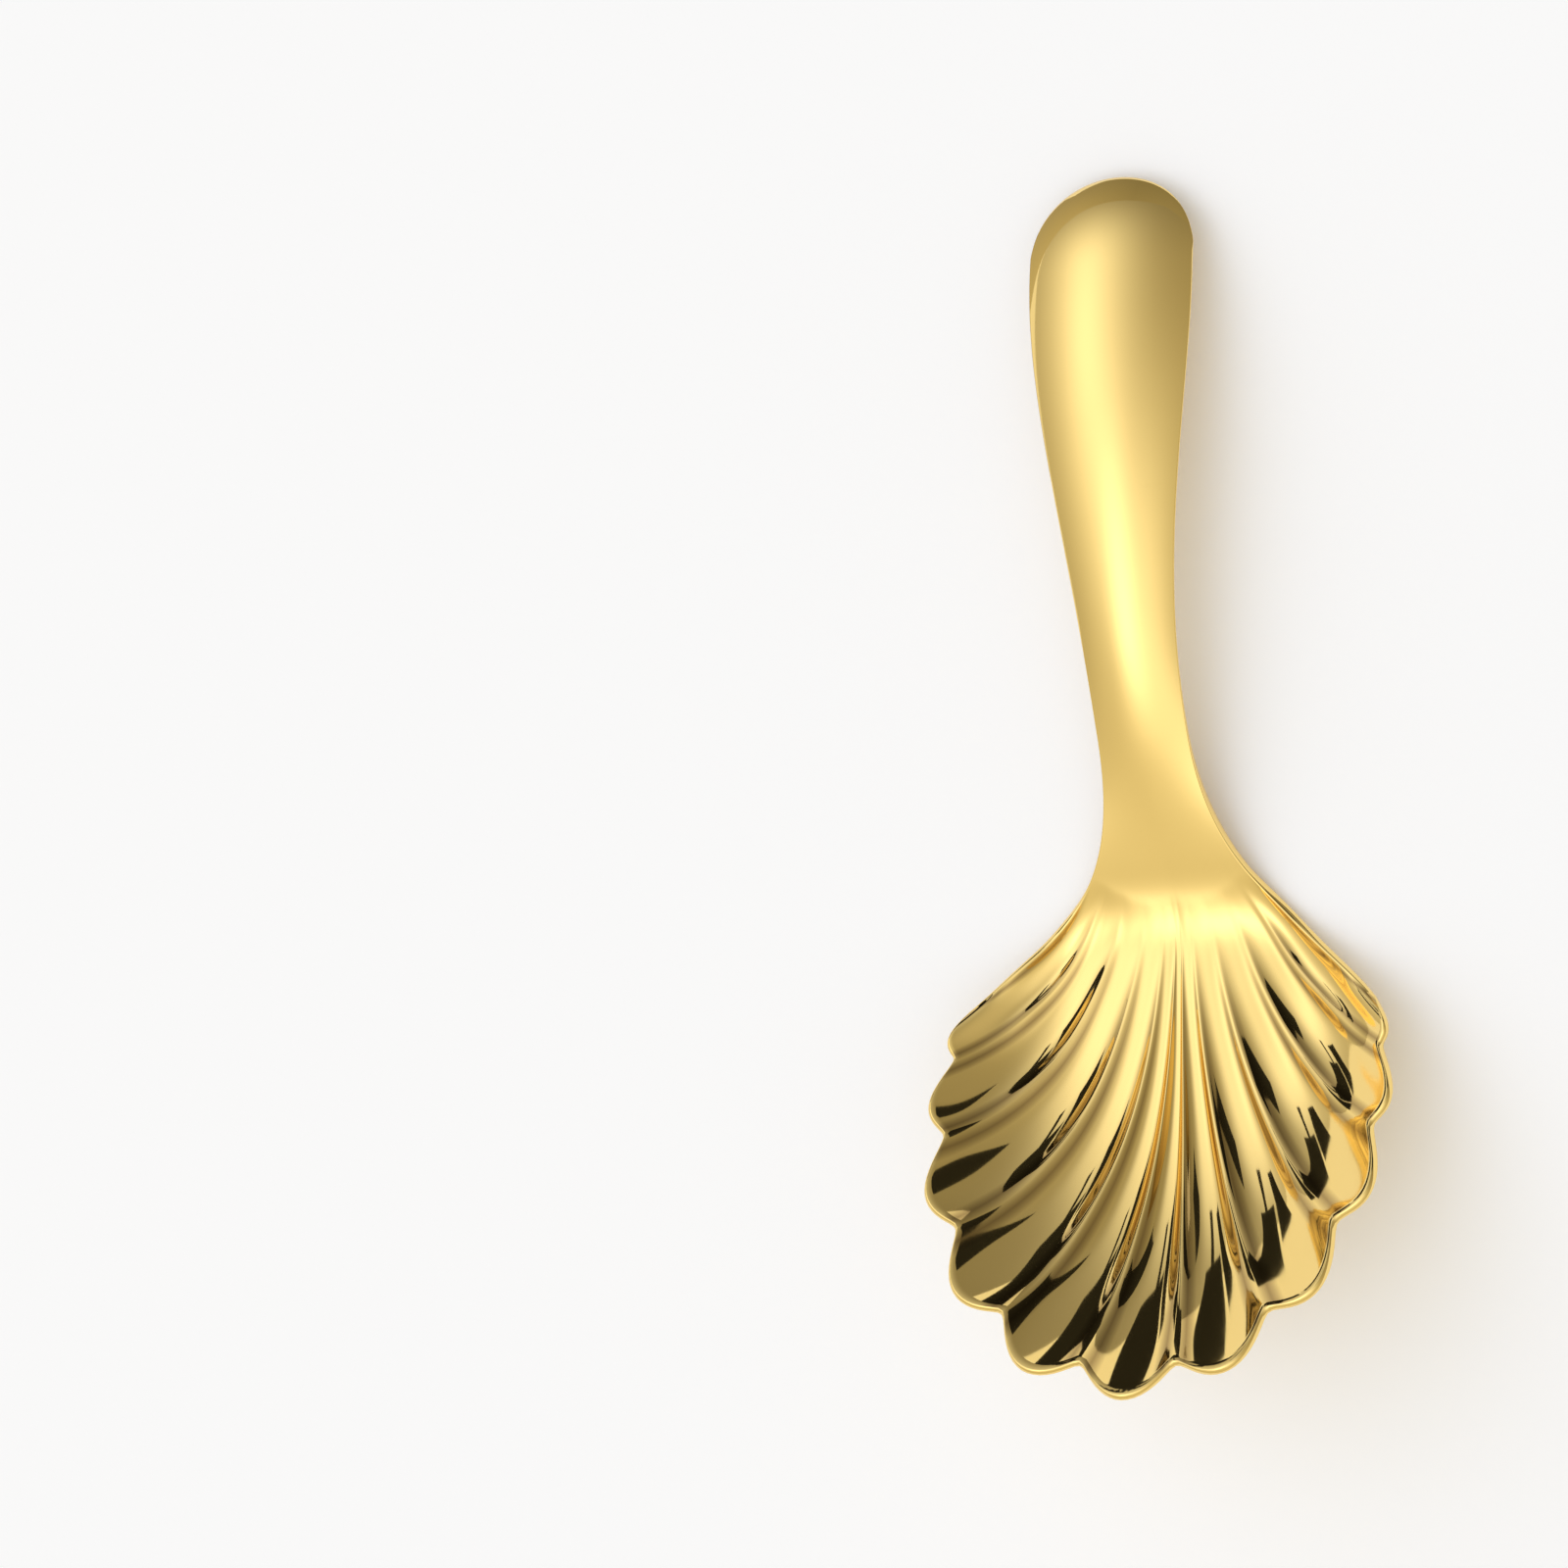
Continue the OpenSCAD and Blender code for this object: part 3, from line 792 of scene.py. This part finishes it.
class Stage(Operator):
    """Build the floor, the light, the cards that paint reflections into the metal, and the camera"""

    bl_idname = "spoon.stage"
    bl_label = "Stage"

    FLOOR_SIZE = 8.0
    # Azimuth, elevation and spread in degrees, and strength
    SOFT_BOXES = ((141, 47, 42, 1.0), (150, 46, 18, 0.2), (-41, 62, 26, 0.72), (-133, 71, 20, 1.15))
    # Share of a soft box's light that is left at its spread
    BOX_FADE = math.exp(-1)
    # Dark cards that glow faintly and that only the metal sees, as painted dark reflections
    # Start and end on the floor, low and high edge, in millimetres. The front is right of the way to the end
    DARK_REFLECTION_CARDS = (
        (16.3, 24.8, 60, 24.8, 21.9, 44.4),
        (-50, 20, -18, 20.5, 0, 21),
        (-36, 20, -30, 20.2, 21, 44),
        (-90, 19.8, -54, 20, 4, 40),
    )
    DARK_REFLECTION_LEVEL = 0.02
    # A grey card that only the metal sees, which paints the shaded floor round the handle's end into its
    # reflection
    # Places on the floor and height, in millimetres
    GREY_LINE = ((-14, 26), (-13, 36), (-11.5, 46), (-7, 54.5), (7, 54.5), (11.5, 46))
    GREY_H = 4.6
    # The card's painted shade darkens across, between two places in millimetres, and its foot has a share of
    # its brightness as painted shade
    GREY_SHADE_FADE = (-13, 2)
    GREY_SHADE_LEVELS = (0.6, 0.32)
    GREY_SHADE_FOOT = 0.75
    # Picture and sensor, and where the spoon's middle lies in the picture, in pixels from its top left
    PICTURE = 1600
    SENSOR = 36.0
    SPOON_PIXEL = (1149.4, 792.2)
    LOOK_AT = (0.0, 0.0, 10 * MM)

    def execute(self, context):
        stage = context.scene.spoon_stage
        self.make_floor(stage)
        self.make_light(context.scene, stage)
        self.make_cards(stage)
        self.make_camera(context.scene, stage)
        context.scene.view_settings.view_transform = "Standard"
        return {"FINISHED"}

    def make_floor(self, stage):
        """A wide plain floor, a little whiter where the camera or the metal sees it."""
        material, add, join = empty_material("Pale floor")
        paint = add("ShaderNodeBsdfDiffuse")
        paint.inputs["Color"].default_value = (*stage.floor, 1)
        rays = add("ShaderNodeLightPath")
        seen = rays.outputs["Is Camera Ray"]
        for kind in ("Is Glossy Ray", "Is Transmission Ray"):
            either = add("ShaderNodeMath", operation="MAXIMUM")
            join(seen, either.inputs[0])
            join(rays.outputs[kind], either.inputs[1])
            seen = either.outputs["Value"]
        lift = add("ShaderNodeMath", operation="MULTIPLY")
        lift.inputs[1].default_value = stage.floor_lift
        join(seen, lift.inputs[0])
        white = add("ShaderNodeEmission")
        white.inputs["Color"].default_value = (1, 1, 1, 1)
        join(lift.outputs["Value"], white.inputs["Strength"])
        both = add("ShaderNodeAddShader")
        join(paint.outputs["BSDF"], both.inputs[0])
        join(white.outputs["Emission"], both.inputs[1])
        output = add("ShaderNodeOutputMaterial")
        join(both.outputs["Shader"], output.inputs["Surface"])
        half = self.FLOOR_SIZE / 2
        corners = [(-half, -half, 0), (half, -half, 0), (half, half, 0), (-half, half, 0)]
        floor = mesh_object("floor", corners, [(0, 1, 2, 3)], material)

    def make_light(self, scene, stage):
        """Light from all round: a warm room, and cool soft boxes that fade into it."""
        world = bpy.data.worlds.new("Studio room")
        world.use_nodes = True
        scene.world = world
        add, join = nodes_of(world.node_tree)
        way = add("ShaderNodeTexCoord").outputs["Generated"]
        slope = add("ShaderNodeVectorMath", operation="DOT_PRODUCT")
        slope.inputs[1].default_value = (0, -stage.room_slope, 0)
        join(way, slope.inputs[0])
        room = add("ShaderNodeMath", operation="ADD")
        room.inputs[1].default_value = stage.room_light
        join(slope.outputs["Value"], room.inputs[0])
        boxes = self.soft_boxes(add, join, way, stage.box_light)
        both = add("ShaderNodeVectorMath", operation="ADD")
        parts = ((room.outputs["Value"], stage.room_tint), (boxes, stage.box_tint))
        for socket, (level, tint) in zip(both.inputs, parts):
            tinted = add("ShaderNodeVectorMath", operation="SCALE")
            tinted.inputs[0].default_value = tint
            join(level, tinted.inputs["Scale"])
            join(tinted.outputs["Vector"], socket)
        light = add("ShaderNodeBackground")
        join(both.outputs["Vector"], light.inputs["Color"])
        output = add("ShaderNodeOutputWorld")
        join(light.outputs["Background"], output.inputs["Surface"])

    def soft_boxes(self, add, join, way, brightness):
        """Light of all the soft boxes in a direction, each a bell round its middle."""
        total = None
        for azimuth, elevation, spread, strength in self.SOFT_BOXES:
            toward = add("ShaderNodeVectorMath", operation="DOT_PRODUCT")
            toward.inputs[1].default_value = heading_vector(math.radians(azimuth), math.radians(elevation))
            join(way, toward.inputs[0])
            turn = add("ShaderNodeMath", operation="ARCCOSINE")
            join(toward.outputs["Value"], turn.inputs[0])
            far = add("ShaderNodeMath", operation="DIVIDE")
            far.inputs[1].default_value = math.radians(spread)
            join(turn.outputs["Value"], far.inputs[0])
            square = add("ShaderNodeMath", operation="MULTIPLY")
            join(far.outputs["Value"], square.inputs[0])
            join(far.outputs["Value"], square.inputs[1])
            fade = add("ShaderNodeMath", operation="POWER")
            fade.inputs[0].default_value = self.BOX_FADE
            join(square.outputs["Value"], fade.inputs[1])
            level = add("ShaderNodeMath", operation="MULTIPLY_ADD")
            level.inputs[1].default_value = brightness * strength
            level.inputs[2].default_value = 0
            join(fade.outputs["Value"], level.inputs[0])
            if total:
                join(total, level.inputs[2])
            total = level.outputs["Value"]
        return total

    def make_cards(self, stage):
        """Cards that only the metal sees, which paint reflections into it: dark ones beside the handle, and
        a grey one round its end that paints the shaded floor there.
        """
        dark = self.painted_dark_reflection()
        for k, (x0, y0, x1, y1, low, high) in enumerate(self.DARK_REFLECTION_CARDS):
            self.make_card(f"dark_reflection_card_{k}", dark, ((x0, y0), (x1, y1)), low, high)
        self.make_card("floor_shade_card", self.painted_floor_shade(stage), self.GREY_LINE, 0, self.GREY_H)

    def painted_dark_reflection(self):
        """A faint near-black glow that only the metal sees, a painted dark reflection."""
        material, add, join = empty_material("Painted dark reflection card")
        card_glow = add("ShaderNodeEmission")
        card_glow.inputs["Strength"].default_value = self.DARK_REFLECTION_LEVEL
        self.show_front(add, join, card_glow)
        return material

    def painted_floor_shade(self, stage):
        """A glow in the room's tint that paints the shaded floor round the handle's end into the metal's
        reflection, graded across and upwards.
        """
        material, add, join = empty_material("Painted floor shade card")
        place = add("ShaderNodeTexCoord")
        parts = add("ShaderNodeSeparateXYZ")
        join(place.outputs["Object"], parts.inputs["Vector"])
        across = add("ShaderNodeMapRange")
        across.inputs["From Min"].default_value = self.GREY_SHADE_FADE[0] * MM
        across.inputs["From Max"].default_value = self.GREY_SHADE_FADE[1] * MM
        across.inputs["To Min"].default_value = self.GREY_SHADE_LEVELS[0]
        across.inputs["To Max"].default_value = self.GREY_SHADE_LEVELS[1]
        join(parts.outputs["X"], across.inputs["Value"])
        up = add("ShaderNodeMapRange")
        up.inputs["From Max"].default_value = self.GREY_H * MM
        up.inputs["To Min"].default_value = self.GREY_SHADE_FOOT
        join(parts.outputs["Z"], up.inputs["Value"])
        level = add("ShaderNodeMath", operation="MULTIPLY")
        join(across.outputs["Result"], level.inputs[0])
        join(up.outputs["Result"], level.inputs[1])
        card_glow = add("ShaderNodeEmission")
        card_glow.inputs["Color"].default_value = (*stage.room_tint, 1)
        join(level.outputs["Value"], card_glow.inputs["Strength"])
        self.show_front(add, join, card_glow)
        return material

    def show_front(self, add, join, card_glow):
        """Makes a card's glow show from its front only."""
        side = add("ShaderNodeNewGeometry")
        clear = add("ShaderNodeBsdfTransparent")
        front = add("ShaderNodeMixShader")
        join(side.outputs["Backfacing"], front.inputs["Fac"])
        join(card_glow.outputs["Emission"], front.inputs[1])
        join(clear.outputs["BSDF"], front.inputs[2])
        output = add("ShaderNodeOutputMaterial")
        join(front.outputs["Shader"], output.inputs["Surface"])

    def make_card(self, name, material, line, low, high):
        """Stands a card upright along a line of places on the floor."""
        corners = [Vector((x, y, z)) * MM for x, y in line for z in (low, high)]
        quads = [(k, k + 2, k + 3, k + 1) for k in range(0, len(corners) - 2, 2)]
        card = mesh_object(name, corners, quads, material)
        card.visible_camera = False
        card.visible_diffuse = False
        card.visible_shadow = False

    def make_camera(self, scene, stage):
        """Looks at the spoon from the side that the picture shows, with the spoon right of the middle."""
        data = bpy.data.cameras.new("camera")
        data.sensor_width = self.SENSOR
        data.lens = stage.lens
        camera = bpy.data.objects.new("camera", data)
        scene.collection.objects.link(camera)
        scene.camera = camera
        a = stage.azimuth
        e = stage.elevation
        back = Vector((math.sin(a) * math.cos(e), -math.cos(a) * math.cos(e), math.sin(e)))
        right = Vector((0, 0, 1)).cross(back).normalized()
        up = back.cross(right)
        straight = Matrix((right, up, back)).transposed()
        focal = stage.lens / self.SENSOR * self.PICTURE
        x = (self.SPOON_PIXEL[0] - self.PICTURE / 2) / focal
        y = (self.PICTURE / 2 - self.SPOON_PIXEL[1]) / focal
        aim = Matrix.Rotation(math.atan(x), 3, "Y")
        aim = Matrix.Rotation(-math.atan(y / math.sqrt(1 + x * x)), 3, "X") @ aim
        turned = straight @ Matrix.Rotation(stage.roll, 3, "Z") @ aim
        place = Matrix.Translation(Vector(self.LOOK_AT) + back * stage.distance)
        camera.matrix_world = place @ turned.to_4x4()


class SpoonPanel(Panel):
    """Sidebar panel with the spoon's pieces and sizes"""

    bl_idname = "VIEW3D_PT_spoon"
    bl_label = "Shell teaspoon"
    bl_space_type = "VIEW_3D"
    bl_region_type = "UI"
    bl_category = "Spoon"

    def draw(self, context):
        for operator in OPERATORS:
            self.layout.operator(operator.bl_idname)
        for name in GROUPS:
            group = getattr(context.scene, name)
            box = self.layout.box()
            for field in group.__annotations__:
                box.prop(group, field)


GROUPS = {
    "spoon_handle": SpoonHandle,
    "spoon_bowl": SpoonBowl,
    "spoon_sheet": SpoonSheet,
    "spoon_finish": SpoonFinish,
    "spoon_stage": SpoonStage,
}
OPERATORS = (FrontPressing, HandleBack, SeamBraze, Stage)


def register():
    for cls in (*GROUPS.values(), *OPERATORS, SpoonPanel):
        bpy.utils.register_class(cls)
    for name, cls in GROUPS.items():
        setattr(bpy.types.Scene, name, PointerProperty(type=cls))


def unregister():
    for name in GROUPS:
        delattr(bpy.types.Scene, name)
    for cls in (SpoonPanel, *reversed(OPERATORS), *reversed(GROUPS.values())):
        bpy.utils.unregister_class(cls)


def main():
    """Builds the spoon and its stage."""
    register()
    bpy.ops.spoon.front_pressing()
    bpy.ops.spoon.handle_back()
    bpy.ops.spoon.seam_braze()
    bpy.ops.spoon.stage()


if __name__ == "__main__":
    main()
